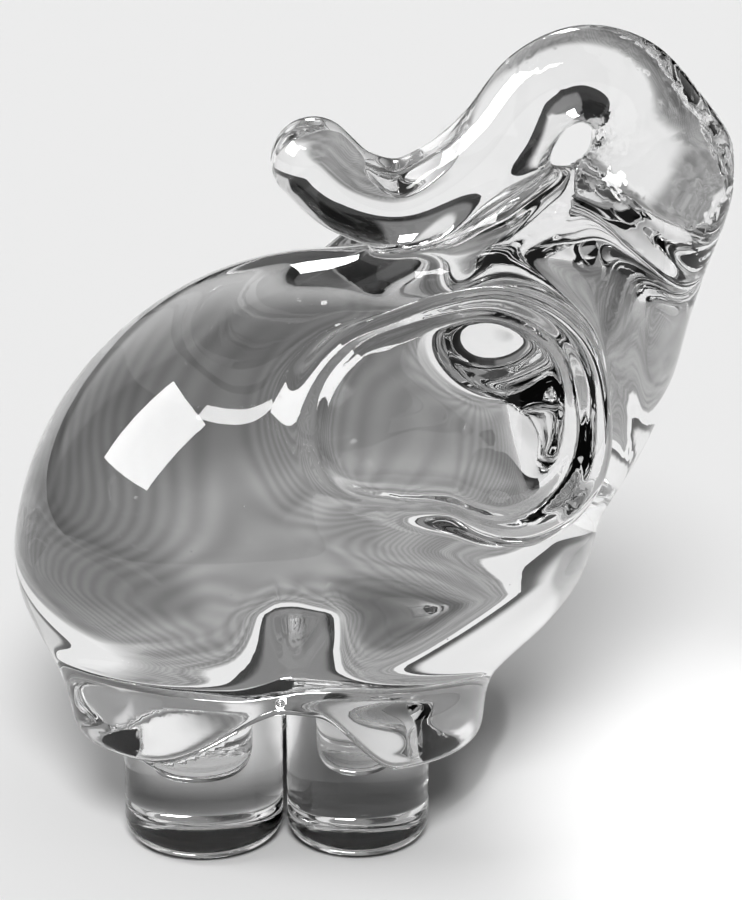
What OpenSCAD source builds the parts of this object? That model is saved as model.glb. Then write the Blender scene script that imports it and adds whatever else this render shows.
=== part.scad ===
// Clear glass elephant with its trunk raised and curled back over its head.
// Built as a glassworker builds it: a body gather, a head gather welded to its front,
// a trunk drawn up from the face, two pressed ears and four short feet.
// The head looks along +X, +Z is up and the feet stand on Z = 0 around the origin.

/* [Body] */
// Length of the body gather from rump to chest
body_length = 97; // [80:1:118]
// Width of the body gather across the flanks
body_width = 82; // [70:1:100]
// Height of the body gather, measured on its full egg shape
body_height = 93; // [76:1:112]
// Height of the widest part of the body above the table
body_middle = 48; // [44:1:56]
// How far the body leans forward for each millimetre of height
body_lean = 0.14; // [0:0.01:0.2]
// Depth of the body below its widest part, measured on its full egg shape
body_drop = 43.4; // [38:0.2:52]
// Share by which the body narrows towards its bottom
body_taper = 0.63; // [0.3:0.01:0.7]
// How far the bottom of the body is tucked back
body_tuck = 9.2; // [0:0.2:12]

/* [Haunches] */
// Height of the lowest edge of the haunches above the table
haunch_height = 18; // [14:0.5:20]
// Rise of the arch between the hind and front feet
arch_rise = 9; // [0:1:12]
// Rise of the belly between the left and right feet
belly_rise = 4; // [0:1:8]
// Length of a hind haunch's cuff from front to back
hind_cuff_length = 44; // [40:0.5:48]
// Width of a hind haunch's cuff
hind_cuff_width = 30; // [28:0.5:34]
// Length of a front haunch's cuff from front to back
front_cuff_length = 39; // [34:0.5:42]
// Width of a front haunch's cuff
front_cuff_width = 34; // [28:0.5:38]

/* [Head] */
// Length of the face from brow to chest
face_length = 80; // [70:1:92]
// Width of the face
face_width = 58; // [50:1:66]
// Thickness of the face from front to back
face_depth = 47; // [40:1:54]
// Length of the crown that lies back over the shoulders
crown_length = 54; // [46:1:62]
// Width of the crown
crown_width = 44; // [36:1:54]
// Height of the crown, measured on its full egg shape
crown_height = 26.4; // [22:0.2:32]

/* [Trunk] */
// Thickness of the trunk where it leaves the face
trunk_root = 20.8; // [19:0.2:23]
// Thickness of the trunk along its curl
trunk_thickness = 14.4; // [12:0.2:16]
// Thickness of the rounded tip
tip_thickness = 14; // [11:0.2:16]
// Side to side thickness of the trunk over its thickness in the curl
trunk_flatness = 1.08; // [1:0.01:1.15]
// Height of the top of the loop above the trunk's root
loop_height = 19.2; // [18:0.2:23]

/* [Ears] */
// Thickness of an ear pad at its middle
ear_thickness = 7.5; // [5:0.5:9]
// Least thickness of an ear at its rim
ear_edge_thickness = 1.6; // [1:0.2:3]
// Size of an ear outline compared with the standard one
ear_scale = 1; // [0.8:0.01:1.1]
// Depth of the groove inside an ear's rolled rim
ear_groove = 0.8; // [0:0.1:1.2]

/* [Feet] */
// Thickness of a hind foot
hind_foot = 26.4; // [22:0.2:28]
// Thickness of a front foot
front_foot = 23.6; // [20:0.2:25]
// Distance between the middles of the left and right hind feet
hind_track = 39; // [34:1:44]
// Distance between the middles of the left and right front feet
front_track = 40; // [34:1:44]
// Gap between a hind foot and the front foot beside it
foot_gap = 0.6; // [0.4:0.1:5]
// Rounding of the lower edge of a foot
foot_rounding = 4; // [1:0.5:6]

/* [Welds] */
// Clearance where an ear, a foot or the trunk's curl lies on a curved face
weld_gap = 0.2; // [0.1:0.05:0.3]

/* [Hidden] */

glass = [0.82, 0.87, 0.9];

// Middles of the gathers; the head's follow the body's size and height
body_x = -9.1;
body_middle_point = [body_x, 0, body_middle];
shoulder_x = body_x + body_length / 2;
withers_z = body_middle + body_height / 2;
face_middle = [shoulder_x - 14, 0, withers_z - 22.5];
face_tilt = 62;
crown_middle = [shoulder_x - 22, 0, withers_z - 10.5];
root_point = [shoulder_x + 9, 0, withers_z + 11.5];
neck_point = [shoulder_x - 0.5, 0, withers_z - 8];

// Seam planes: a point on the plane and the direction that points forward and up
neck_seam = [[body_x + 4, 0, withers_z + 1.5], [0.6, 0, 0.8]];
root_seam = [root_point, [0.4, 0, sqrt(0.84)]];

// Roundings between the fields of the gathers
head_weld = 4;
brow_weld = 5;
root_weld = 6;
cuff_weld = 8;
cuff_top = 30;
rim_rounding = 4;

hind_x = body_x - 16.8;
front_x = hind_x + (hind_foot + front_foot) / 2 + foot_gap;

// Smooth steps and joins
function ease(t) = let (c = min(1, max(0, t))) c * c * (3 - 2 * c);
function join(a, b, k) = let (h = max(k - abs(a - b), 0) / k) min(a, b) - h * h * h * k / 6;
function meet(a, b, k) = -join(-a, -b, k);
function mix(a, b, t) = a + (b - a) * t;

// Signed closeness to an egg with middle c and half sizes r, turned by tilt about Y
function egg(p, c, r, tilt = 0) = let (
    q = p - c,
    x = q.x * cos(tilt) + q.z * sin(tilt),
    z = q.z * cos(tilt) - q.x * sin(tilt),
    k0 = norm([x / r.x, q.y / r.y, z / r.z]),
    k1 = norm([x / r.x ^ 2, q.y / r.y ^ 2, z / r.z ^ 2]) + 1e-6
) k0 * (k0 - 1) / k1;

// Underside of the body: low at the four haunches, arched between them
function underside(x, y) = let (
    arch = ease((x - hind_x + 9) / 25) * (1 - ease((x - front_x - 6.7 + 13.4) / 13.4)),
    belly = exp(-(y / 9) ^ 2)
) haunch_height + arch_rise * arch + belly_rise * belly * (1 - arch);

// Haunch cuff: an upright pillar over a foot, of half sizes r around the spot c
function cuff(p, c, r) = meet(
    (norm([(p.x - c.x) / r.x, (abs(p.y) - c.y) / r.y]) - 1) * min(r.x, r.y),
    p.z - cuff_top, cuff_weld
);

// Body: a leaning egg, a little square in plan, that narrows and tucks back below its
// middle, joined with the four haunch cuffs and cut off by the underside
plan_power = 2.3;
function body_field(p) = let (
    q = p - body_middle_point,
    low = (min(q.z, 0) / (body_height / 2)) ^ 2,
    x = abs(q.x - body_lean * q.z + body_tuck * low) / (body_length / 2 * (1 - body_taper * low)),
    y = abs(q.y) / (body_width / 2 * (1 - 0.6 * body_taper * low)),
    z = q.z / (q.z < 0 ? body_drop : body_height / 2),
    plan = (x ^ plan_power + y ^ plan_power) ^ (1 / plan_power),
    shell = (norm([plan, z]) - 1) * 38,
    hind = cuff(p, [hind_x + 0.7, hind_track / 2], [hind_cuff_length, hind_cuff_width] / 2),
    front = cuff(p, [front_x + 1.3, front_track / 2], [front_cuff_length, front_cuff_width] / 2),
    full = join(join(shell, hind, cuff_weld), front, cuff_weld)
) meet(full, underside(p.x, p.y) - p.z, rim_rounding);

// Neck of glass between the face and the trunk's root, a cone with round ends
function cone_field(p, a, b, ra, rb) = let (
    t = min(1.2, max(0, (p - a) * (b - a) / ((b - a) * (b - a)))),
    c = a + (b - a) * t
) norm([p.x - c.x, p.y / trunk_flatness, p.z - c.z]) - mix(ra, rb, t);

function head_field(p) = let (
    face = egg(p, face_middle, [face_length, face_width, face_depth] / 2, face_tilt),
    crown = egg(p, crown_middle, [crown_length, crown_width, crown_height] / 2),
    neck = cone_field(p, neck_point, root_point, trunk_root * 0.65, trunk_root / 2)
) join(join(face, crown, brow_weld), neck, root_weld);

// Skin of the body and head together, and how far a point is past a seam plane
function skin(p) = join(body_field(p), head_field(p), head_weld);
function past(p, seam) = (p - seam[0]) * seam[1];

// Distance along d from o to the skin, halving the span between lo and hi
function reach(o, d, lo, hi, steps = 15) =
    steps == 0 ? lo :
    let (m = (lo + hi) / 2)
    skin(o + m * d) < 0 ? reach(o, d, m, hi, steps - 1) : reach(o, d, lo, m, steps - 1);

// Closed skin over rows of points: rows run from one pole to the other
module loft(rows, first, last) {
    n = len(rows[0]);
    m = len(rows);
    points = [first, for (r = rows) each r, last];
    faces = [
        for (i = [0:n - 1]) [0, 1 + i, 1 + (i + 1) % n],
        // Quads are cut on opposite diagonals in the two halves, so that both sides match
        for (j = [0:m - 2]) for (i = [0:n - 1])
            let (a = 1 + j * n + i, b = 1 + j * n + (i + 1) % n)
            each i < n / 2 ? [[a, a + n, b], [b, a + n, b + n]]
                           : [[a, b + n, b], [a, a + n, b + n]],
        for (i = [0:n - 1])
            [m * n + 1, 1 + (m - 1) * n + (i + 1) % n, 1 + (m - 1) * n + i]
    ];
    polyhedron(points, faces);
}

// Rays from a middle point around the seams' common axis: turn goes round, fall goes down
axis_tilt = atan2(neck_seam[1].x, neck_seam[1].z);
function ray_way(turn, fall) = let (
    x = sin(fall) * cos(turn),
    z = cos(fall)
) [x * cos(axis_tilt) + z * sin(axis_tilt), sin(fall) * sin(turn),
   z * cos(axis_tilt) - x * sin(axis_tilt)];
function skin_point(middle, turn, fall) = let (d = ray_way(turn, fall))
    middle + d * reach(middle, d, 0, 90);

// How far a ray runs before it meets a seam plane, or 90 where it never does
function run_to(middle, d, seam) = let (
    t = -past(middle, seam) / (d * seam[1])
) t > 0 && t < 90 ? t : 90;

// Fall at which the skin crosses a seam plane, halving the span between lo and hi
function edge_fall(middle, seam, turn, lo, hi, steps = 12) =
    steps == 0 ? hi :
    let (m = (lo + hi) / 2)
    past(skin_point(middle, turn, m), seam) > 0
        ? edge_fall(middle, seam, turn, m, hi, steps - 1)
        : edge_fall(middle, seam, turn, lo, m, steps - 1);

// Where the axis through a middle point meets a seam plane
function on_seam(middle, seam) =
    let (d = ray_way(0, 0)) middle - d * past(middle, seam) / (d * seam[1]);

// Rows of skin points between two lists of falls, none of them past a seam in the list
function rows_between(middle, falls_a, falls_b, rows, around, seams) = [
    for (j = [0:rows]) [for (i = [0:around - 1]) let (
        d = ray_way(360 * i / around, mix(falls_a[i], falls_b[i], j / rows)),
        limit = min([for (seam = seams) run_to(middle, d, seam)])
    ) middle + d * min(limit, reach(middle, d, 0, 90))]
];

module body() {
    around = 72;
    rows = 44;
    middle = [body_x - 2, 0, body_middle];
    edge = [for (i = [0:around - 1]) edge_fall(middle, neck_seam, 360 * i / around, 5, 120)];
    foot = [for (i = [0:around - 1]) 180 - 90 / rows];
    color(glass) loft(
        rows_between(middle, edge, foot, rows, around, [neck_seam]),
        on_seam(middle, neck_seam),
        skin_point(middle, 0, 180)
    );
}

module head() {
    around = 60;
    rows = 22;
    middle = [shoulder_x - 6, 0, withers_z - 12];
    top = [for (i = [0:around - 1]) edge_fall(middle, root_seam, 360 * i / around, 2, 80)];
    chin = [for (i = [0:around - 1]) edge_fall(middle, neck_seam, 360 * i / around, 60, 150)];
    color(glass) loft(
        rows_between(middle, top, chin, rows, around, [neck_seam, root_seam]),
        on_seam(middle, root_seam),
        on_seam(middle, neck_seam)
    );
}

// Trunk: a path in the XZ plane, given as [x, z, thickness along the curl]
rest_x = shoulder_x - 32.7;
function top_of_head(x) = reach([x, 0, body_middle], [0, 0, 1], 0, 90)
    + body_middle;
rest_z = top_of_head(rest_x) + trunk_thickness / 2 + weld_gap;
loop_x = root_point.x - 12.2;
loop_z = root_point.z + loop_height;
TRUNK_PATH = [
    [root_point.x, root_point.z, trunk_root],
    [root_point.x - 1.2, loop_z - 9.5, trunk_root - 3],
    [loop_x + 7.2, loop_z - 2.6, trunk_thickness + 2],
    [loop_x, loop_z, trunk_thickness + 1],
    [loop_x - 7.4, loop_z - 3.1, trunk_thickness + 0.2],
    [rest_x + 15.7, rest_z + 10.4, trunk_thickness],
    [rest_x + 8.7, rest_z + 4, trunk_thickness],
    [rest_x, rest_z, trunk_thickness],
    [rest_x - 8.3, rest_z + 2, mix(trunk_thickness, tip_thickness, 0.5)],
    [rest_x - 14.1, rest_z + 7.2, tip_thickness]
];

// Catmull-Rom curve through the path, u from 0 to the number of spans
function path_at(u) = let (
    last = len(TRUNK_PATH) - 1,
    i = min(floor(u), last - 1),
    t = u - i,
    b = TRUNK_PATH[i],
    c = TRUNK_PATH[i + 1],
    a = i == 0 ? 2 * b - c : TRUNK_PATH[i - 1],
    d = i == last - 1 ? 2 * c - b : TRUNK_PATH[i + 2]
) b + 0.5 * t * (c - a + t * (2 * a - 5 * b + 4 * c - d + t * (3 * (b - c) + d - a)));

module trunk() {
    spans = len(TRUNK_PATH) - 1;
    per_span = 5;
    around = 24;
    tip_rows = 6;
    seam_turn = atan2(root_seam[1].z, root_seam[1].x);
    function heading(u) = let (d = path_at(min(u + 0.05, spans)) - path_at(max(u - 0.05, 0)))
        atan2(d.y, d.x);
    function wrap(a) = a < -90 ? a + 360 : a;
    // The first rings turn from the seam plane to square across the path
    function facing(u) = mix(seam_turn, wrap(heading(u)), ease(u / 2));
    function ring(u, swell, ahead) = let (
        p = path_at(u),
        a = facing(u),
        half = p.z / 2 * swell,
        across = [sin(a), 0, -cos(a)],
        along = [cos(a), 0, sin(a)]
    ) [for (i = [0:around - 1]) let (t = 360 * i / around)
        [p.x, 0, p.y] + along * ahead + across * half * cos(t)
        + [0, half * trunk_flatness * sin(t), 0]];
    body_rings = [for (k = [0:spans * per_span]) ring(k / per_span, 1, 0)];
    tip = path_at(spans);
    tip_rings = [for (k = [1:tip_rows - 1]) let (t = 90 * k / tip_rows)
        ring(spans, cos(t), tip.z / 2 * sin(t))];
    end = facing(spans);
    color(glass) loft(
        concat(body_rings, tip_rings),
        root_point,
        [tip.x + tip.z / 2 * cos(end), 0, tip.y + tip.z / 2 * sin(end)]
    );
}

// Ear: a pad on the side of the head, worked out in its own plane.
// EAR_REACH is how far the outline lies from the ear's middle, every 30 degrees
// from straight ahead, through up and back.
EAR_REACH = [25.2, 24.6, 21.8, 18.4, 18.2, 22, 26, 27.4, 20.8, 18.8, 24.9, 26.6];
ear_middle = [shoulder_x - 25, -face_width / 2 - 2, withers_z - 15.5];
ear_normal = [-0.1, -0.93, 0.35] / norm([-0.1, -0.93, 0.35]);
ear_ahead = let (d = [1, 0, 0] - ear_normal * ear_normal.x) d / norm(d);
ear_rise = cross(ear_normal, ear_ahead);
function ear_edge(turn) = let (
    n = len(EAR_REACH),
    u = (turn + 360) % 360 / 360 * n,
    i = floor(u),
    t = u - i,
    a = EAR_REACH[(i + n - 1) % n],
    b = EAR_REACH[i % n],
    c = EAR_REACH[(i + 1) % n],
    d = EAR_REACH[(i + 2) % n]
) ear_scale * (b + 0.5 * t * (c - a + t * (2 * a - 5 * b + 4 * c - d + t * (3 * (b - c) + d - a))));

module ear(side) {
    around = 48;
    rows = 8;
    // Thickness of the pad at share q of the way to its edge, with the rim's groove
    function pad(q) = ear_thickness * (1 - q ^ 3.2) ^ (1 / 2.2)
        - ear_groove * exp(-((q - 0.84) / 0.06) ^ 2);
    function place(turn, q, out) = let (r = q * ear_edge(turn))
        ear_middle + ear_ahead * r * cos(turn) + ear_rise * r * sin(turn) + ear_normal * out;
    // Where the line through the pad meets the head's skin, searched from inside the head
    search = 22;
    function seat(turn, q) = reach(place(turn, q, -search), ear_normal, 0, 50)
        + weld_gap - search;
    // The pad rests on the skin, and where it hangs past it, its back is rounded too
    function under(turn, q) = max(seat(turn, q), -ear_thickness * (1 - q ^ 3.2) ^ (1 / 2.2));
    function inner(turn, q) = place(turn, q, under(turn, q));
    function outer(turn, q) = place(turn, q, max(pad(q), under(turn, q) + ear_edge_thickness));
    shares = [for (k = [1:rows]) 1 - (1 - k / rows) ^ 1.6];
    color(glass) mirror([0, side > 0 ? 1 : 0, 0]) loft(
        [
            for (k = [0:rows - 1]) [for (i = [0:around - 1]) outer(360 * i / around, shares[k] * 0.985)],
            for (k = [rows - 1:-1:0]) [for (i = [0:around - 1]) inner(360 * i / around, shares[k] * 0.985)]
        ],
        outer(0, 0),
        inner(0, 0)
    );
}

module ear_left() {
    ear(1);
}

module ear_right() {
    ear(-1);
}

// Foot: an upright pillar with a rounded lower edge, topped by the body's underside
module leg(x, y, thick) {
    around = 44;
    edge_rows = 4;
    top_rows = 8;
    half = thick / 2;
    function spot(turn, r, z) = [x + r * cos(turn), y + r * sin(turn), z];
    // Height of the body's underside over a spot, searched down from the body's middle,
    // and no higher than where the haunch's edge starts to curl up
    curl = 1.6;
    function ceiling_at(turn, r) = let (p = spot(turn, r, body_middle - 8))
        min(p.z - reach(p, [0, 0, -1], 0, body_middle - 8) - weld_gap,
            underside(p.x, p.y) + curl);
    bottom = [for (k = [0:edge_rows]) let (t = 90 * k / edge_rows)
        [for (i = [0:around - 1])
            spot(360 * i / around, half - foot_rounding * (1 - sin(t)), foot_rounding * (1 - cos(t)))]];
    top = [for (k = [0:top_rows - 1]) let (r = half * (1 - k / top_rows))
        [for (i = [0:around - 1]) spot(360 * i / around, r, ceiling_at(360 * i / around, r))]];
    middle = spot(0, 0, ceiling_at(0, 0));
    color(glass) loft(
        concat([for (k = [top_rows - 1:-1:0]) top[k]], [for (k = [edge_rows:-1:0]) bottom[k]]),
        middle,
        spot(0, 0, 0)
    );
}

module leg_front_left() {
    leg(front_x, front_track / 2, front_foot);
}

module leg_front_right() {
    mirror([0, 1, 0]) leg(front_x, front_track / 2, front_foot);
}

module leg_hind_left() {
    leg(hind_x, hind_track / 2, hind_foot);
}

module leg_hind_right() {
    mirror([0, 1, 0]) leg(hind_x, hind_track / 2, hind_foot);
}

body();
head();
trunk();
ear_left();
ear_right();
leg_front_left();
leg_front_right();
leg_hind_left();
leg_hind_right();
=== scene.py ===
# %% [markdown]
# # A solid glass elephant
# The real figurine is hot-worked clear crystal. A glassworker gathers one hot bit of
# glass after another and welds each to the last: a body, a head, a trunk drawn up from the
# face and curled back, two ears and four short feet. This lesson rebuilds it as those same
# pieces, from formulas, and then lights it as a small studio product.

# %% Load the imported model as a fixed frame
import bpy
import numpy as np
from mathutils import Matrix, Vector


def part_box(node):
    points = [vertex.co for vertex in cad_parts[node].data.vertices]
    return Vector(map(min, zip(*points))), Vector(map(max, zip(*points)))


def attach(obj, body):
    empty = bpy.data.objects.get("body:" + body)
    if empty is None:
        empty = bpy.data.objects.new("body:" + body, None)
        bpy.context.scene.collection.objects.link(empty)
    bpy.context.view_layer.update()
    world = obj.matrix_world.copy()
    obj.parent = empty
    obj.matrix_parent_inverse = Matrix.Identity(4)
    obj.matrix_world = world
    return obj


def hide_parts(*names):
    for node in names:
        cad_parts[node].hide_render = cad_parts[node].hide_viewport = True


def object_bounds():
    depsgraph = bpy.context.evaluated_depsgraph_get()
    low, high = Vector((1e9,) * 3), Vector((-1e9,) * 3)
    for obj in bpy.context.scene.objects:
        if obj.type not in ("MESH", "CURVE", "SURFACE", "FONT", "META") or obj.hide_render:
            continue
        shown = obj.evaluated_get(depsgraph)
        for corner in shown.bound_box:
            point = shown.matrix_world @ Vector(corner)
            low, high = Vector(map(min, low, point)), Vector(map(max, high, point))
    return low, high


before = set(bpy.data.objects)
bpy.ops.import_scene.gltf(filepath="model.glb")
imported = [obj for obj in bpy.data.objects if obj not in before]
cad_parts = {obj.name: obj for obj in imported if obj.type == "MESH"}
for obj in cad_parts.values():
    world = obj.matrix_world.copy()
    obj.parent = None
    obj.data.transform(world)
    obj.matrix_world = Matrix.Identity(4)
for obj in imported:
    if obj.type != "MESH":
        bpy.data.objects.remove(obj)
cad_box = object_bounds()
print("CAD box:", cad_box)

# %% [markdown]
# ## Working units and the frame's own sizes
# All formulas below work in millimetres, because that is how a glassworker would measure
# the piece. The feet are read from the boxes of the CAD nodes; the other sizes are the ones
# that the CAD part was built with.

# %% Read the driving sizes from the frame
MM = 0.001


def box_mm(node):
    """Lowest and highest corner of a CAD node, in millimetres."""
    low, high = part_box(node)
    return np.array(low) / MM, np.array(high) / MM


print("body box:", *(corner.round(2) for corner in box_mm("body")))

# %% Names of the glass pieces and their labels
PIECES = ["body", "head", "trunk", "ear_left", "ear_right",
          "leg_front_left", "leg_front_right", "leg_hind_left", "leg_hind_right"]
LABEL = {name: number + 1 for number, name in enumerate(PIECES)}
print("pieces:", len(PIECES))

# %% [markdown]
# ## Fields instead of faces
# Molten glass has no edges: where two bits touch, the surface flows into a soft fillet.
# A field does the same. It is a function of a point that is negative inside the glass and
# positive outside, and two fields are welded by a smooth minimum, which rounds the join.

# %% Smooth joins of fields
def ease(t):
    """Goes from 0 to 1 with level ends: 3 t squared less 2 t cubed, t held to 0..1."""
    t = np.clip(t, 0, 1)
    return t * t * (3 - 2 * t)


def join(a, b, k):
    """Smooth minimum: the lesser of a and b, less a cubic bump where they are within k."""
    h = np.maximum(k - np.abs(a - b), 0) / k
    return np.minimum(a, b) - h * h * h * k / 6


def meet(a, b, k):
    """Smooth maximum, the smooth minimum turned over."""
    return -join(-a, -b, k)


def mix(a, b, t):
    """Straight mix of a and b."""
    return a + (b - a) * t


def egg(x, y, z, middle, size, tilt=0.0):
    """Egg: k0 is the point's distance over the half sizes and k1 its slope; k0(k0-1)/k1."""
    x, y, z = x - middle[0], y - middle[1], z - middle[2]
    c, s = np.cos(np.radians(tilt)), np.sin(np.radians(tilt))
    x, z = x * c + z * s, z * c - x * s
    a, b, d = np.array(size) / 2
    k0 = np.sqrt((x / a) ** 2 + (y / b) ** 2 + (z / d) ** 2)
    k1 = np.sqrt((x / a ** 2) ** 2 + (y / b ** 2) ** 2 + (z / d ** 2) ** 2) + 1e-6
    return k0 * (k0 - 1) / k1


# %% [markdown]
# ## The body gather
# A leaning egg, a little square in plan, cut off below by a wavy underside: low at the four
# haunches, arched between the hind and front feet and along the belly.

# %% Body field
BODY_LENGTH, BODY_WIDTH, BODY_HEIGHT = 97, 82, 93
BODY_X, BODY_Z, BODY_LEAN = -9.1, 48, 0.14
BODY_DROP, BODY_TAPER, BODY_TUCK = 43.4, 0.63, 9.2
HAUNCH_HEIGHT, ARCH_RISE, BELLY_RISE = 18, 9, 4
CUFF_WELD, CUFF_TOP, RIM_ROUNDING = 8, 30, 4
SHOULDER_X = BODY_X + BODY_LENGTH / 2
WITHERS_Z = BODY_Z + BODY_HEIGHT / 2
LEG_BOX = {name: box_mm(name) for name in PIECES if name.startswith("leg")}
HIND_X = LEG_BOX["leg_hind_left"][0][0] / 2 + LEG_BOX["leg_hind_left"][1][0] / 2
FRONT_X = LEG_BOX["leg_front_left"][0][0] / 2 + LEG_BOX["leg_front_left"][1][0] / 2
HIND_Y, FRONT_Y = 19.5, 20
DOME_RISE, DOME_REACH = 1.8, 20
PLAN_POWER, BODY_SCALE = 2.3, 38
# Middle (x, y) and half size (x, y) of the cuffs over the hind and the front feet
CUFFS = (((HIND_X + 0.7, HIND_Y), (22, 15)), ((FRONT_X + 1.3, FRONT_Y), (19.5, 17)))
print("feet at x:", round(float(HIND_X), 2), round(float(FRONT_X), 2))


def underside(x, y):
    """Haunch height, an arch along x between the feet, a bell across y, domed haunches."""
    to_foot = np.minimum((x - HIND_X) ** 2 + (np.abs(y) - HIND_Y) ** 2,
                         (x - FRONT_X) ** 2 + (np.abs(y) - FRONT_Y) ** 2)
    dome = DOME_RISE * np.minimum(to_foot / DOME_REACH ** 2, 1.2) - DOME_RISE / 2
    arch = ease((x - HIND_X + 9) / 25) * (1 - ease((x - FRONT_X + 6.7) / 13.4))
    belly = np.exp(-(y / 9) ** 2)
    return HAUNCH_HEIGHT + dome + ARCH_RISE * arch + BELLY_RISE * belly * (1 - arch)


def cuff(x, y, z, middle, half):
    """Haunch cuff: pillar over a foot, oval in plan, a little wider higher up, soft on top."""
    out = np.sqrt(((x - middle[0]) / half[0]) ** 2 + ((np.abs(y) - middle[1]) / half[1]) ** 2)
    out = out - 0.004 * (z - 23)
    return meet((out - 1) * min(half), z - CUFF_TOP, CUFF_WELD)


def body_field(x, y, z):
    """Leaning egg, power 2.3 in plan, narrower and tucked back below, joined with the cuffs."""
    up = z - BODY_Z
    low = (np.minimum(up, 0) / (BODY_HEIGHT / 2)) ** 2
    a = np.abs(x - BODY_X - BODY_LEAN * up + BODY_TUCK * low)
    a = a / (BODY_LENGTH / 2 * (1 - BODY_TAPER * low))
    b = np.abs(y) / (BODY_WIDTH / 2 * (1 - 0.6 * BODY_TAPER * low))
    plan = (a ** PLAN_POWER + b ** PLAN_POWER) ** (1 / PLAN_POWER)
    height = np.where(up < 0, BODY_DROP, BODY_HEIGHT / 2)
    full = (np.sqrt(plan ** 2 + (up / height) ** 2) - 1) * BODY_SCALE
    for middle, half in CUFFS:
        full = join(full, cuff(x, y, z, middle, half), CUFF_WELD)
    return meet(full, underside(x, y) - z, RIM_ROUNDING)


# %% [markdown]
# ## The head gather
# A long tilted egg makes the face and chest, a low egg makes the crown that lies back over
# the shoulders, and a cone of glass leads up to the root of the trunk.

# %% Head field and the planes of the two big welds
FACE = ([SHOULDER_X - 14, 0, WITHERS_Z - 22.5], [80, 58, 47], 62)
CROWN = ([SHOULDER_X - 22, 0, WITHERS_Z - 10.5], [54, 44, 26.4])
ROOT = np.array([SHOULDER_X + 9, 0, WITHERS_Z + 11.5])
NECK = np.array([SHOULDER_X - 0.5, 0, WITHERS_Z - 8])
TRUNK_ROOT, TRUNK_FLAT = 20.8, 1.08
NECK_SEAM = (np.array([BODY_X + 4, 0, WITHERS_Z + 1.5]), np.array([0.6, 0, 0.8]))
ROOT_SEAM = (ROOT, np.array([0.4, 0, 0.84 ** 0.5]))


def cone_field(x, y, z, a, b, ra, rb):
    """Distance from the line a-b, held to its ends, less a radius that runs from ra to rb."""
    ab = b - a
    t = ((x - a[0]) * ab[0] + (y - a[1]) * ab[1] + (z - a[2]) * ab[2]) / (ab @ ab)
    t = np.clip(t, 0, 1.2)
    px, pz = x - a[0] - t * ab[0], z - a[2] - t * ab[2]
    return np.sqrt(px ** 2 + (y / TRUNK_FLAT) ** 2 + pz ** 2) - mix(ra, rb, t)


def head_field(x, y, z):
    """Face, crown and neck eggs joined with soft roundings."""
    face = egg(x, y, z, *FACE)
    crown = egg(x, y, z, *CROWN)
    neck = cone_field(x, y, z, NECK, ROOT, TRUNK_ROOT * 0.65, TRUNK_ROOT / 2)
    return join(join(face, crown, 5), neck, 6)


def past(x, y, z, seam):
    """How far a point is past a seam plane, along the plane's direction."""
    (px, py, pz), (nx, ny, nz) = seam
    return (x - px) * nx + (y - py) * ny + (z - pz) * nz


def core_field(x, y, z):
    """Body and head welded together."""
    return join(body_field(x, y, z), head_field(x, y, z), 4)


# %% [markdown]
# ## The trunk
# A rod drawn along a path in the middle plane. Because the path is flat, the nearest station
# depends only on x and z, so it is looked up once for a whole sheet of points.

# %% Trunk path and field
TRUNK_THICK, TIP_THICK = 14.4, 14.0
REST_X = SHOULDER_X - 32.7
probe_z = np.linspace(BODY_Z, BODY_Z + 90, 9001)
inside = core_field(np.full_like(probe_z, REST_X), np.zeros_like(probe_z), probe_z) < 0
REST_Z = probe_z[inside].max() + TRUNK_THICK / 2 + 0.2
LOOP_X, LOOP_Z = ROOT[0] - 12.2, ROOT[2] + 19.2
TRUNK_PATH = np.array([
    [ROOT[0], ROOT[2], TRUNK_ROOT],
    [ROOT[0] - 1.2, LOOP_Z - 9.5, TRUNK_ROOT - 3],
    [LOOP_X + 7.2, LOOP_Z - 2.6, TRUNK_THICK + 2],
    [LOOP_X, LOOP_Z, TRUNK_THICK + 1],
    [LOOP_X - 7.4, LOOP_Z - 3.1, TRUNK_THICK + 0.2],
    [REST_X + 15.7, REST_Z + 10.4, TRUNK_THICK],
    [REST_X + 8.7, REST_Z + 4, TRUNK_THICK],
    [REST_X, REST_Z, TRUNK_THICK],
    [REST_X - 8.3, REST_Z + 2, (TRUNK_THICK + TIP_THICK) / 2],
    [REST_X - 14.1, REST_Z + 7.2, TIP_THICK],
])


def curve_through(points, count):
    """Catmull-Rom curve: in each span a cubic that leaves a point along its neighbours."""
    padded = np.vstack([2 * points[0] - points[1], points, 2 * points[-1] - points[-2]])
    u = np.linspace(0, len(points) - 1, count)
    i = np.minimum(u.astype(int), len(points) - 2)
    t = (u - i)[:, None]
    a, b, c, d = padded[i], padded[i + 1], padded[i + 2], padded[i + 3]
    return b + 0.5 * t * (c - a + t * (2 * a - 5 * b + 4 * c - d + t * (3 * (b - c) + d - a)))


# The rod starts a little inside the face, so that the weld has glass on both sides
inner_root = ROOT - np.array([4, 0, 10])
path_points = np.vstack([[inner_root[0], inner_root[2], TRUNK_ROOT], TRUNK_PATH])
STATIONS = curve_through(path_points, 500)
print("trunk stations:", STATIONS.shape, "rest height:", round(float(REST_Z), 2))


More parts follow.
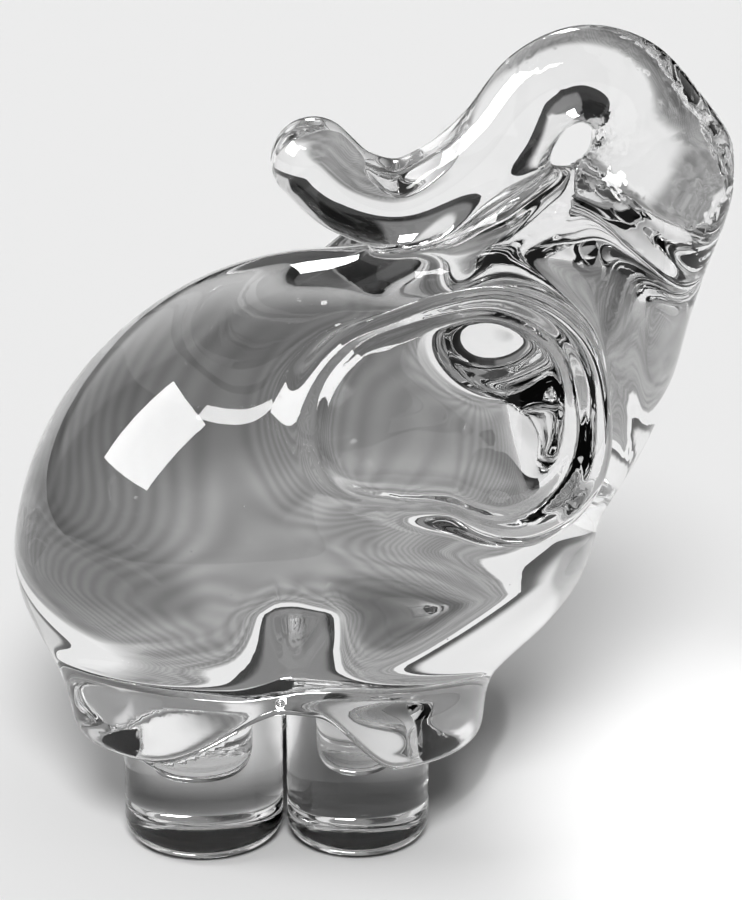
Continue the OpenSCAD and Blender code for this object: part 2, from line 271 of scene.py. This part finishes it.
def nearest_station(x, z):
    """Station whose middle is nearest to each (x, z), slid along the path to be square."""
    flat_x, flat_z = x.ravel(), z.ravel()
    best = np.empty(flat_x.size, int)
    for start in range(0, flat_x.size, 20000):
        part = slice(start, start + 20000)
        away = (flat_x[part, None] - STATIONS[:, 0]) ** 2 + (flat_z[part, None] - STATIONS[:, 1]) ** 2
        best[part] = away.argmin(1)
    i = np.clip(best, 1, len(STATIONS) - 2)
    step = STATIONS[i + 1, :2] - STATIONS[i - 1, :2]
    offset = np.stack([flat_x, flat_z], 1) - STATIONS[i, :2]
    slide = np.clip(2 * (offset * step).sum(1) / (step * step).sum(1), -1, 1)[:, None]
    spot = STATIONS[i] + 0.5 * slide * (STATIONS[i + 1] - STATIONS[i - 1])
    distance = np.hypot(flat_x - spot[:, 0], flat_z - spot[:, 1])
    return distance.reshape(x.shape), spot[:, 2].reshape(x.shape) / 2


def trunk_field(x, y, z):
    """Flattened round rod: distance in the plane over its half size, y over a wider one."""
    x2, z2 = np.broadcast_arrays(x, z)
    distance, half = nearest_station(x2, z2)
    wide = half * TRUNK_FLAT
    k0 = np.sqrt((distance / half) ** 2 + (y / wide) ** 2)
    k1 = np.sqrt((distance / half ** 2) ** 2 + (y / wide ** 2) ** 2) + 1e-6
    return k0 * (k0 - 1) / k1


# %% [markdown]
# ## The ears
# Each ear is a pad pressed on the side of the head. Its outline is a closed curve of reach
# against direction in the ear's own plane, and its thickness swells inside a rolled rim.

# %% Ear field
EAR_REACH = np.array([25.2, 24.6, 21.8, 18.4, 18.2, 22, 26, 27.4, 20.8, 18.8, 24.9, 26.6])
EAR_THICK, EAR_GROOVE, EAR_BACK = 7.5, 0.8, 11
EAR_MIDDLE = np.array([SHOULDER_X - 25, -31, WITHERS_Z - 15.5])
EAR_NORMAL = np.array([-0.1, -0.93, 0.35])
EAR_NORMAL = EAR_NORMAL / np.linalg.norm(EAR_NORMAL)
EAR_AHEAD = np.array([1, 0, 0]) - EAR_NORMAL * EAR_NORMAL[0]
EAR_AHEAD = EAR_AHEAD / np.linalg.norm(EAR_AHEAD)
EAR_RISE = np.cross(EAR_NORMAL, EAR_AHEAD)


def ear_edge(turn):
    """Outline: the same cubic curve as the trunk's path, closed, over twelve directions."""
    u = np.mod(turn, 2 * np.pi) / (2 * np.pi) * len(EAR_REACH)
    i = u.astype(int)
    t = u - i
    a, b, c, d = (EAR_REACH[(i + k) % len(EAR_REACH)] for k in (-1, 0, 1, 2))
    return b + 0.5 * t * (c - a + t * (2 * a - 5 * b + 4 * c - d + t * (3 * (b - c) + d - a)))


def ear_field(x, y, z, side):
    """Squashed dome: share of the way out to the rim and of the thickness, joined.

    Its back is deeper than its front, so that the pad is sunk in the glass behind it.
    """
    dx, dy, dz = x - EAR_MIDDLE[0], -side * y - EAR_MIDDLE[1], z - EAR_MIDDLE[2]
    ahead = dx * EAR_AHEAD[0] + dy * EAR_AHEAD[1] + dz * EAR_AHEAD[2]
    rise = dx * EAR_RISE[0] + dy * EAR_RISE[1] + dz * EAR_RISE[2]
    out = dx * EAR_NORMAL[0] + dy * EAR_NORMAL[1] + dz * EAR_NORMAL[2]
    share = np.sqrt(ahead ** 2 + rise ** 2) / ear_edge(np.arctan2(rise, ahead))
    groove = EAR_GROOVE * np.exp(-((share - 0.80) / 0.055) ** 2)
    thick = np.where(out < 0, EAR_BACK, EAR_THICK - groove)
    k = (share ** 3.2 + (np.abs(out) / thick) ** 2.2) ** (1 / 2.7)
    return (k - 1) * EAR_THICK


# %% [markdown]
# ## The feet
# Upright pillars with a rounded lower edge. Their tops run up into the body, where the weld
# cuts them off.

# %% Foot field
FOOT_ROUNDING, FOOT_TOP = 4, 32


def foot_field(x, y, z, name):
    """Rounded pillar: distance outside a smaller pillar, less the rounding."""
    low, high = LEG_BOX[name]
    middle = (low + high) / 2
    radius = (high[0] - low[0]) / 2
    side = np.sqrt((x - middle[0]) ** 2 + (y - middle[1]) ** 2) - radius + FOOT_ROUNDING
    ends = np.abs(z - FOOT_TOP / 2) - FOOT_TOP / 2 + FOOT_ROUNDING
    outer = np.sqrt(np.maximum(side, 0) ** 2 + np.maximum(ends, 0) ** 2)
    return np.minimum(np.maximum(side, ends), 0) + outer - FOOT_ROUNDING


# %% [markdown]
# ## One skin, nine pieces
# All the fields are welded into one skin. Inside it, every point also gets a label that says
# which gather it belongs to. The pieces share the skin and their weld faces exactly, so
# light crosses a weld as if the glass were whole, which is what fused glass does.

# %% The whole skin and the labels
EAR_WELD, FOOT_WELD, ROOT_WELD, LOOP_WELD, REST_WELD = 4.0, 0.8, 10.0, 12.0, 4.0
# Along x: where the weld starts to widen to the loop's and to the root's, and over how far
LOOP_START, LOOP_RUN, ROOT_START, ROOT_RUN = 8, 16, 34, 8
# The root seam counts only ahead of the first; past the second the rod's start is face
SEAM_X, FACE_X = 28, 38


def all_fields(x, y, z):
    """Every gather's own field at the points."""
    fields = {"core": core_field(x, y, z), "trunk": trunk_field(x, y, z),
              "ear_left": ear_field(x, y, z, 1), "ear_right": ear_field(x, y, z, -1)}
    for name in LEG_BOX:
        fields[name] = foot_field(x, y, z, name)
    return fields


def skin_of(fields, x, z):
    """Welds the fields: wide at the trunk's root and loop, tight where its tip rests."""
    weld = mix(REST_WELD, LOOP_WELD, ease((x - LOOP_START) / LOOP_RUN))
    weld = mix(weld, ROOT_WELD, ease((x - ROOT_START) / ROOT_RUN))
    skin = join(fields["core"], fields["trunk"], weld)
    for name in ("ear_left", "ear_right"):
        skin = join(skin, fields[name], EAR_WELD)
    for name in LEG_BOX:
        skin = join(skin, fields[name], FOOT_WELD)
    return skin


def labels_of(fields, skin, x, y, z):
    """0 outside; past the root seam trunk; in the core body or head; else the nearest."""
    names = ["trunk", "ear_left", "ear_right", *LEG_BOX]
    stack = np.stack([fields["core"]] + [fields[n] for n in names])
    nearest = stack.argmin(0)
    codes = np.array([0] + [LABEL[n] for n in names])
    core_part = np.where(past(x, y, z, NECK_SEAM) < 0, LABEL["body"], LABEL["head"])
    above_root = (past(x, y, z, ROOT_SEAM) > 0) & (x > SEAM_X)
    core_part = np.where(above_root, LABEL["trunk"], core_part)
    in_core = (fields["core"] < 0) | (nearest == 0)
    label = np.where(in_core, core_part, codes[nearest])
    # Below the root seam the inner start of the rod belongs to the face
    face_side = (label == LABEL["trunk"]) & ~above_root & (x > FACE_X)
    label = np.where(face_side, LABEL["head"], label)
    return np.where(skin < 0, label, 0)


# %% [markdown]
# ## From fields to meshes
# The fields are sampled on a grid of small cells. Each cell that holds a change of label gets
# one point, and each grid edge that crosses a change gets one four-sided face between the four
# cells around it. Every point is then slid onto the exact surface along the field's slope, so
# the mesh is as smooth as the formulas, and the slope itself gives the exact normals.

# %% Sample the grid
CELL = 0.75
low = np.array(cad_box[0]) / MM - 2.5 * CELL
high = np.array(cad_box[1]) / MM + 2.5 * CELL
counts = np.ceil((high - low) / CELL).astype(int) + 1
counts[1] += counts[1] % 2
axis_x = low[0] + CELL * np.arange(counts[0])
axis_y = CELL * (np.arange(counts[1]) - (counts[1] - 1) / 2)
axis_z = low[2] + CELL * (np.arange(counts[2]) + 0.37)
grid_x, grid_y, grid_z = axis_x[:, None, None], axis_y[None, :, None], axis_z[None, None, :]
grid_fields = all_fields(grid_x, grid_y, grid_z)
grid_skin = skin_of(grid_fields, grid_x, grid_z)
grid_label = labels_of(grid_fields, grid_skin, grid_x + 0 * grid_skin,
                       grid_y + 0 * grid_skin, grid_z + 0 * grid_skin)
print("grid:", grid_skin.shape, "labels:", np.unique(grid_label, return_counts=True))

# %% Points, one for each cell with a change of label
EDGES = [(corner, axis) for axis in range(3)
         for corner in np.ndindex(2, 2, 2) if corner[axis] == 0]


def shifted(volume, corner, trim=1):
    """The volume as each cell's given corner sees it."""
    return volume[tuple(slice(c, volume.shape[d] - trim + c) for d, c in enumerate(corner))]


cells = tuple(n - 1 for n in grid_skin.shape)
crossings = np.zeros(cells)
total = np.zeros(cells + (3,))
touches_outside = np.zeros(cells, bool)
for corner, axis in EDGES:
    other = tuple(c + (d == axis) for d, c in enumerate(corner))
    value_a, value_b = shifted(grid_skin, corner), shifted(grid_skin, other)
    label_a, label_b = shifted(grid_label, corner), shifted(grid_label, other)
    changes = label_a != label_b
    outer = changes & ((label_a == 0) | (label_b == 0))
    along = np.where(outer, value_a / np.where(value_a == value_b, 1, value_a - value_b), 0.5)
    crossings += changes
    touches_outside |= outer
    for d in range(3):
        total[..., d] += changes * (corner[d] + (along if d == axis else 0))
active = crossings > 0
cell_index = np.argwhere(active)
origin = np.array([axis_x[0], axis_y[0], axis_z[0]])
points = origin + (cell_index + total[active] / crossings[active][:, None]) * CELL
on_skin = touches_outside[active]
point_number = np.full(cells, -1)
point_number[active] = np.arange(len(points))
print("points:", len(points), "on the skin:", int(on_skin.sum()))


# %% Slide the points onto the exact surface
def skin_at(p):
    """Value of the welded skin at loose points."""
    x, y, z = p.T
    return skin_of(all_fields(x, y, z), x, z)


def slope_at(p, reach=0.02):
    """Slope of the skin by central differences, one axis at a time."""
    steps = np.eye(3) * reach
    return np.stack([skin_at(p + s) - skin_at(p - s) for s in steps], 1) / (2 * reach)


def slide_onto_skin(p, rounds=3):
    """Newton's steps along the slope, each held to half a cell."""
    for _ in range(rounds):
        slope = slope_at(p)
        size = np.maximum((slope ** 2).sum(1), 1e-6)
        step = (skin_at(p) / size)[:, None] * slope
        length = np.linalg.norm(step, axis=1, keepdims=True)
        p = p - step * np.minimum(1, 0.5 * CELL / np.maximum(length, 1e-9))
    return p


points[on_skin] = slide_onto_skin(points[on_skin])
normals = np.zeros_like(points)
normals[on_skin] = slope_at(points[on_skin])
normals /= np.maximum(np.linalg.norm(normals, axis=1, keepdims=True), 1e-9)
print("largest distance from the skin:", float(np.abs(skin_at(points[on_skin])).max()))

# %% Faces, one for each grid edge that crosses a change
def faces_along(axis):
    """Four cells around each crossing edge, in order, with the labels on its two sides."""
    count = grid_label.shape[axis]
    before, after = (grid_label[tuple(
        slice(step, count - 1 + step) if d == axis else slice(1, -1) for d in range(3))]
        for step in (0, 1))
    change = before != after
    where = np.argwhere(change)
    u, v = (axis + 1) % 3, (axis + 2) % 3
    corners = []
    for du, dv in ((0, 0), (1, 0), (1, 1), (0, 1)):
        cell = where.copy()
        cell[:, u] += du
        cell[:, v] += dv
        corners.append(point_number[tuple(cell.T)])
    return np.stack(corners, 1), before[change], after[change]


every = [faces_along(axis) for axis in range(3)]
quads = np.concatenate([e[0] for e in every])
below = np.concatenate([e[1] for e in every])
above = np.concatenate([e[2] for e in every])
print("faces between labels:", len(quads))

# %% [markdown]
# ## Glass and welds
# Clear crystal is one Principled shader with full transmission. The weld faces between two
# gathers are inside solid glass and can't be seen on the real piece, so they are fully clear.

# %% Materials
def crystal_material():
    """Clear crystal: full transmission, with the faintest waviness of fire-polished glass."""
    material = bpy.data.materials.new("fire_polished_crystal")
    material.use_nodes = True
    nodes, links = material.node_tree.nodes, material.node_tree.links
    shader = nodes["Principled BSDF"]
    shader.inputs["Base Color"].default_value = (1, 1, 1, 1)
    shader.inputs["Roughness"].default_value = 0.0
    shader.inputs["IOR"].default_value = 1.52
    shader.inputs["Transmission Weight"].default_value = 1.0
    place = nodes.new("ShaderNodeTexCoord")
    ripple = nodes.new("ShaderNodeTexNoise")
    ripple.inputs["Scale"].default_value = 60
    ripple.inputs["Detail"].default_value = 1
    bump = nodes.new("ShaderNodeBump")
    bump.inputs["Strength"].default_value = 0.1
    bump.inputs["Distance"].default_value = 0.0001
    links.new(place.outputs["Object"], ripple.inputs["Vector"])
    links.new(ripple.outputs["Fac"], bump.inputs["Height"])
    links.new(bump.outputs["Normal"], shader.inputs["Normal"])
    return material


def weld_material():
    """A fused face: light goes straight on."""
    material = bpy.data.materials.new("fused_weld")
    material.use_nodes = True
    nodes, links = material.node_tree.nodes, material.node_tree.links
    nodes.remove(nodes["Principled BSDF"])
    clear = nodes.new("ShaderNodeBsdfTransparent")
    links.new(clear.outputs[0], nodes["Material Output"].inputs["Surface"])
    return material


crystal = crystal_material()
weld = weld_material()
print("materials:", crystal.name, weld.name)


# %% Trapped bubbles
def ball(middle, radius, n=6):
    """Closed ball of six square patches pushed out to the radius, turned to face inward."""
    u = np.tan(np.linspace(-np.pi / 4, np.pi / 4, n + 1))
    a, b = np.meshgrid(u, u, indexing="ij")
    one = np.ones_like(a)
    patches = [(one, a, b), (-one, b, a), (b, one, a), (a, -one, b), (a, b, one), (b, a, -one)]
    dots = np.concatenate([np.stack(p, -1).reshape(-1, 3) for p in patches])
    dots /= np.linalg.norm(dots, axis=1, keepdims=True)
    i, j = np.meshgrid(np.arange(n), np.arange(n), indexing="ij")
    first = (i * (n + 1) + j).ravel()
    square = np.stack([first, first + 1, first + n + 2, first + n + 1], 1)
    faces = np.concatenate([square + k * (n + 1) ** 2 for k in range(6)])
    unique, back = np.unique(dots.round(6), axis=0, return_inverse=True)
    return middle + radius * unique, back.ravel()[faces], -unique


BUBBLES = [(-12.6, -33.6, 30.6, 0.85), (-26, -33, 56, 0.10), (-33, -27, 66, 0.12),
           (-20, -36, 50, 0.08), (-9, -38, 44, 0.10), (2, -38, 55, 0.08), (14, -36, 42, 0.12),
           (-30, 20, 60, 0.12), (-2, 30, 70, 0.10), (20, 24, 50, 0.12), (-16, 34, 38, 0.10),
           (24, -33, 50, 0.08)]
print("bubbles:", len(BUBBLES))


# %% Make each piece a closed mesh
def make_piece(name):
    """Faces of one label: its side of the skin and its side of each weld, turned outward."""
    label = LABEL[name]
    upward = below == label
    downward = above == label
    faces = np.concatenate([quads[upward], quads[downward][:, ::-1]])
    is_weld = np.concatenate([above[upward] != 0, below[downward] != 0])
    used, faces = np.unique(faces, return_inverse=True)
    faces = faces.reshape(-1, 4)
    verts, turned = points[used], normals[used]
    for x, y, z, radius in BUBBLES if name == "body" else []:
        dots, squares, inward = ball(np.array([x, y, z]), radius)
        faces = np.concatenate([faces, squares + len(verts)])
        is_weld = np.concatenate([is_weld, np.zeros(len(squares), bool)])
        verts, turned = np.concatenate([verts, dots]), np.concatenate([turned, inward])
    verts = verts * MM
    mesh = bpy.data.meshes.new(name + "_glass")
    mesh.vertices.add(len(verts))
    mesh.vertices.foreach_set("co", verts.ravel())
    mesh.loops.add(faces.size)
    mesh.loops.foreach_set("vertex_index", faces.ravel().astype(np.int32))
    mesh.polygons.add(len(faces))
    mesh.polygons.foreach_set("loop_start", np.arange(0, faces.size, 4, dtype=np.int32))
    mesh.materials.append(crystal)
    mesh.materials.append(weld)
    mesh.polygons.foreach_set("material_index", is_weld.astype(np.int32))
    mesh.update(calc_edges=True)
    mesh.shade_smooth()
    loop_normals = turned[faces.ravel()]
    flat = np.empty(len(faces) * 3)
    mesh.polygons.foreach_get("normal", flat)
    loop_weld = np.repeat(is_weld, 4)
    loop_normals[loop_weld] = np.repeat(flat.reshape(-1, 3), 4, 0)[loop_weld]
    mesh.normals_split_custom_set(loop_normals.tolist())
    piece = bpy.data.objects.new(name + "_glass", mesh)
    bpy.context.scene.collection.objects.link(piece)
    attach(piece, "root")
    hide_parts(name)
    print(name, "faces:", len(faces), "weld faces:", int(is_weld.sum()))
    return piece


pieces = [make_piece(name) for name in PIECES]

# %% [markdown]
# ## Studio
# Clear glass has no look of its own: it shows the room. So the room matters as much as the
# figurine. A pale table runs back out of sight. The key light comes from in front, so its
# shadow falls behind. There the floor also has a painted shadow with painted streaks of light,
# and under the belly a painted glow, which only the glass body shows. Light and dark panels
# stand all round, as flags and reflectors do in a studio for glassware.

# %% Helpers for node trees
def add_math(tree, kind, a, b=0.0):
    """One Math node of the kind; a and b are numbers or sockets."""
    node = tree.nodes.new("ShaderNodeMath")
    node.operation = kind
    for socket, value in zip(node.inputs, (a, b)):
        if isinstance(value, (int, float)):
            socket.default_value = value
        else:
            tree.links.new(value, socket)
    return node.outputs[0]


def add_vector_math(tree, kind, a, b=None):
    """One Vector Math node of the kind, on socket a and the fixed vector b."""
    node = tree.nodes.new("ShaderNodeVectorMath")
    node.operation = kind
    tree.links.new(a, node.inputs[0])
    if b is not None:
        node.inputs[1].default_value = b
    return node.outputs["Value" if kind in ("LENGTH", "DISTANCE") else "Vector"]


def add_range(tree, value, source, target, smooth=True):
    """Maps source (low, high) to target (low, high), held at the ends, level there if smooth."""
    node = tree.nodes.new("ShaderNodeMapRange")
    if smooth:
        node.interpolation_type = "SMOOTHSTEP"
    names = ("From Min", "From Max", "To Min", "To Max")
    for name, number in zip(names, (*source, *target)):
        node.inputs[name].default_value = number
    tree.links.new(value, node.inputs["Value"])
    return node.outputs["Result"]


# %% Floor
PALE, FLOOR_RADIUS = 0.8, 2.2
# Painted shadow for light through glass: its grey tones with painted streaks of light, its half ring
# and its oval
PAINTED_SHADOW_TONES = (0.26, 0.33)
SHADOW_RING_STOPS = ((0.045, 0), (0.07, 1), (0.15, 1), (0.19, 0))  # distance in metres, share of grey
SHADOW_OVAL_MIDDLE, SHADOW_OVAL_HALF = (-0.10, 0.26, 0), (0.14, 0.20)
# Painted glow under the belly, for light through glass: its middle, its fade distances and its
# strength
PAINTED_GLOW_MIDDLE, PAINTED_GLOW_FADE, PAINTED_GLOW_STRENGTH = (-0.022, 0.034, 0), (0.012, 0.036), 0.6


def add_painted_streaks(tree, place):
    """Painted shadow grey with painted streaks of light: bands across x, bent by the wave's own
    distortion, times a soft cloud.
    """
    cloud = tree.nodes.new("ShaderNodeTexNoise")
    cloud.inputs["Scale"].default_value = 28
    cloud.inputs["Detail"].default_value = 1
    tree.links.new(place, cloud.inputs["Vector"])
    wave = tree.nodes.new("ShaderNodeTexWave")
    wave.wave_type = "BANDS"
    wave.bands_direction = "X"
    for name, value in (("Scale", 105), ("Distortion", 9), ("Detail", 1), ("Detail Scale", 0.12)):
        wave.inputs[name].default_value = value
    tree.links.new(place, wave.inputs["Vector"])
    grey = add_range(tree, wave.outputs["Fac"], (0, 1), PAINTED_SHADOW_TONES, smooth=False)
    shade = add_range(tree, cloud.outputs["Fac"], (0.35, 0.65), (0.8, 1.25), smooth=False)
    return add_math(tree, "MULTIPLY", grey, shade)


def add_shadow_zone(tree, place):
    """Share of painted shadow grey: the greater of half a ring behind the figurine and an oval at its
    rump.
    """
    ring = tree.nodes.new("ShaderNodeValToRGB")
    ring.color_ramp.interpolation = "EASE"
    stops = ring.color_ramp.elements
    (first, _), *middle_stops, (last, _) = SHADOW_RING_STOPS
    stops[0].position, stops[0].color = first, (0, 0, 0, 1)
    stops[1].position, stops[1].color = last, (0, 0, 0, 1)
    for position, share in middle_stops:
        stops.new(position).color = (share, share, share, 1)
    tree.links.new(add_vector_math(tree, "LENGTH", place), ring.inputs["Fac"])
    parts = tree.nodes.new("ShaderNodeSeparateXYZ")
    tree.links.new(place, parts.inputs[0])
    behind = add_range(tree, parts.outputs[1], (-0.01, 0.03), (0, 1), smooth=False)
    half_ring = add_math(tree, "MULTIPLY", ring.outputs["Color"], behind)
    offset = add_vector_math(tree, "SUBTRACT", place, SHADOW_OVAL_MIDDLE)
    squashed = add_vector_math(tree, "MULTIPLY", offset, (1 / SHADOW_OVAL_HALF[0], 1 / SHADOW_OVAL_HALF[1], 0))
    oval = add_range(tree, add_vector_math(tree, "LENGTH", squashed), (0.8, 1.1), (1, 0))
    return add_math(tree, "MAXIMUM", half_ring, oval)


def add_painted_shadow_and_glow(material):
    """Painted shadow with painted streaks of light, and a painted glow under the belly.

    They stand in for the light that glass throws on the table in fine curved streaks. Both are
    shown only to light that comes through glass; to everything else the floor stays plain and pale.
    """
    tree = material.node_tree
    shader = tree.nodes["Principled BSDF"]
    place = tree.nodes.new("ShaderNodeTexCoord").outputs["Object"]
    through_glass = tree.nodes.new("ShaderNodeLightPath").outputs["Is Transmission Ray"]
    # Painted shadow grey with painted streaks of light, mixed into the floor colour only where glass
    # looks at it
    tone = add_painted_streaks(tree, place)
    share = add_math(tree, "MULTIPLY", add_shadow_zone(tree, place), through_glass)
    colour = tree.nodes.new("ShaderNodeMix")
    colour.data_type = "RGBA"
    for socket in colour.inputs:
        if socket.name == "A" and socket.type == "RGBA":
            socket.default_value = (PALE, PALE, PALE, 1)
        if socket.name == "B" and socket.type == "RGBA":
            tree.links.new(tone, socket)
        if socket.name == "Factor" and socket.type == "VALUE":
            tree.links.new(share, socket)
    result = [socket for socket in colour.outputs if socket.type == "RGBA"][0]
    tree.links.new(result, shader.inputs["Base Color"])
    # Painted glow: the floor's emission under the belly, only for light through glass, stands in for
    # light the glass focuses there
    aside = add_vector_math(tree, "DISTANCE", place, PAINTED_GLOW_MIDDLE)
    focus = add_range(tree, aside, PAINTED_GLOW_FADE, (PAINTED_GLOW_STRENGTH, 0))
    glow = add_math(tree, "MULTIPLY", focus, through_glass)
    shader.inputs["Emission Color"].default_value = (1, 1, 1, 1)
    tree.links.new(glow, shader.inputs["Emission Strength"])


def stage_floor():
    """A pale disc, wide enough for every view, with a painted shadow, streaks of light and glow that
    only the glass shows.
    """
    turn = np.linspace(0, 2 * np.pi, 96, endpoint=False)
    rim = FLOOR_RADIUS * np.stack([np.cos(turn), np.sin(turn), 0 * turn], 1)
    mesh = bpy.data.meshes.new("floor")
    mesh.from_pydata(rim.tolist(), [], [list(range(len(rim)))])
    floor = bpy.data.objects.new("floor", mesh)
    bpy.context.scene.collection.objects.link(floor)
    material = bpy.data.materials.new("pale_floor")
    material.use_nodes = True
    shader = material.node_tree.nodes["Principled BSDF"]
    shader.inputs["Base Color"].default_value = (PALE, PALE, PALE, 1)
    shader.inputs["Roughness"].default_value = 1.0
    shader.inputs["Specular IOR Level"].default_value = 0.0
    mesh.materials.append(material)
    # Paints the shadow, its streaks of light and the glow under the belly, seen only through the
    # glass
    add_painted_shadow_and_glow(material)
    return floor


print("floor:", stage_floor().name, "radius", FLOOR_RADIUS)


# %% Lamps
def direction(azimuth, elevation):
    """Unit vector: azimuth 0 is straight behind the figurine (+Y), 90 is its face side (+X)."""
    a, e = np.radians(azimuth), np.radians(elevation)
    return np.array([np.sin(a) * np.cos(e), np.cos(a) * np.cos(e), np.sin(e)])


def aim_lamp(data, name, place, aim=(0, 0, 0.05)):
    """Hangs a lamp at a place and turns it to face a point."""
    lamp = bpy.data.objects.new(name, data)
    lamp.location = place
    lamp.rotation_euler = (Vector(aim) - Vector(place)).to_track_quat("-Z", "Y").to_euler()
    bpy.context.scene.collection.objects.link(lamp)
    return lamp


def soft_box(name, azimuth, elevation, size, brightness, distance=0.8):
    """A rectangular soft box; its power is its brightness times pi times its area."""
    data = bpy.data.lights.new(name, "AREA")
    data.shape = "RECTANGLE"
    data.size, data.size_y = size
    data.energy = brightness * np.pi * size[0] * size[1]
    lamp = aim_lamp(data, name, direction(azimuth, elevation) * distance)
    lamp.visible_diffuse = False
    return lamp


def hide_from_glass(lamp):
    """Keeps a lamp out of what the glass mirrors and bends; the soft boxes are there for that."""
    lamp.visible_glossy = False
    lamp.visible_transmission = False
    return lamp


def soft_sun(name, azimuth, elevation, strength, width):
    """An even light from one side, as soft as a disc that is width degrees wide."""
    data = bpy.data.lights.new(name, "SUN")
    data.energy = strength
    data.angle = np.radians(width)
    return hide_from_glass(aim_lamp(data, name, direction(azimuth, elevation) * 1.5))


soft_sun("key", 178, 47, 2.35, 18)
soft_sun("side_fill", -100, 58, 0.8, 22)
for box in (soft_box("soft_box_left", -103, 39, (0.46, 0.36), 16),
            soft_box("strip_left", -134, 53, (0.28, 0.07), 14)):
    box.visible_transmission = False
soft_box("soft_box_back", -5, 34, (0.10, 0.20), 12)

pool = bpy.data.lights.new("floor_pool", "SPOT")
pool.energy = 16
pool.spot_size = np.radians(13)
pool.spot_blend = 0.9
pool.shadow_soft_size = 0.01
hide_from_glass(aim_lamp(pool, "floor_pool", (0.24, -0.22, 0.62), (0.088, -0.012, 0)))

# %% World: pale to the eye, panels to the glass
PANELS = [  # azimuth, half width, elevation, half height, softness, brightness
    (-33, 20, 26, 20, 4, 0.80),
    (-3, 7, 14, 26, 4, 0.20),
    (20, 14, 14, 28, 3, 0.005),
    (48, 12, 28, 30, 4, 0.60),
    (104, 18, 40, 14, 4, 0.85),
    (-66, 10, 12, 12, 6, 0.40),
    (160, 30, 10, 22, 8, 0.05),
    (-160, 12, 20, 16, 6, 0.40),
]
BASE, LOW_BAND, LOW_BAND_VALUE = 0.24, (-6, 7, 3), 0.02  # the band: elevation, half, softness
TO_DIFFUSE, TO_EYE = 0.30, 0.54  # what the eye sees is the sum of the two


def make_world():
    """Diffuse rays see an even dim grey, the eye a pale one, glass the ring of panels."""
    world = bpy.data.worlds.new("studio")
    bpy.context.scene.world = world
    world.use_nodes = True
    tree = world.node_tree
    place = tree.nodes.new("ShaderNodeTexCoord").outputs["Generated"]
    parts = tree.nodes.new("ShaderNodeSeparateXYZ")
    tree.links.new(place, parts.inputs[0])

    def inside(angle, middle, half, soft):
        """1 within half of the middle, falling to 0 over the softness."""
        away = add_math(tree, "ABSOLUTE", add_math(tree, "SUBTRACT", angle, middle))
        return add_range(tree, away, (half, half + soft), (1, 0))

    def cover(value, mask, over):
        """The value, with over laid on it where the mask is 1."""
        step = add_math(tree, "MULTIPLY", mask, add_math(tree, "SUBTRACT", over, value))
        return add_math(tree, "ADD", value, step)

    turn = add_math(tree, "ARCTAN2", parts.outputs[0], parts.outputs[1])
    azimuth = add_math(tree, "MULTIPLY", turn, 180 / np.pi)
    climb = add_math(tree, "ARCSINE", parts.outputs[2])
    elevation = add_math(tree, "MULTIPLY", climb, 180 / np.pi)
    value = BASE
    for middle_a, half_a, middle_e, half_e, soft, brightness in PANELS:
        mask = add_math(tree, "MULTIPLY", inside(azimuth, middle_a, half_a, soft),
                        inside(elevation, middle_e, half_e, soft))
        value = cover(value, mask, brightness)
    value = cover(value, inside(elevation, *LOW_BAND), LOW_BAND_VALUE)
    rays = tree.nodes.new("ShaderNodeLightPath").outputs
    glass_ray = add_math(tree, "MAXIMUM", rays["Is Glossy Ray"], rays["Is Transmission Ray"])
    eye_ray = add_math(tree, "MULTIPLY", rays["Is Camera Ray"], TO_EYE)
    plain = add_math(tree, "ADD", TO_DIFFUSE, eye_ray)
    tree.links.new(cover(plain, glass_ray, value), tree.nodes["Background"].inputs["Color"])
    return world


make_world()
print("panels:", len(PANELS))

# %% Camera
camera_data = bpy.data.cameras.new("camera")
camera_data.sensor_fit = "HORIZONTAL"
camera_data.sensor_width = 36
camera_data.lens = 174.663
camera = bpy.data.objects.new("camera", camera_data)
ELEVATION, DISTANCE = np.radians(20), 0.6
aim = np.array([0.0019, 0, 0.0608])
camera.location = aim + DISTANCE * np.array([0, -np.cos(ELEVATION), np.sin(ELEVATION)])
camera.rotation_euler = (np.pi / 2 - ELEVATION, 0, 0)
bpy.context.scene.collection.objects.link(camera)
bpy.context.scene.camera = camera
bpy.context.scene.view_settings.view_transform = "Standard"
print("camera at", camera.location[:], "lens", camera_data.lens)

# %% Light paths long enough for light to leave the glass
paths = bpy.context.scene.cycles
paths.max_bounces = 40
paths.transmission_bounces = 40
paths.transparent_max_bounces = 40
paths.caustics_refractive = False
paths.caustics_reflective = False
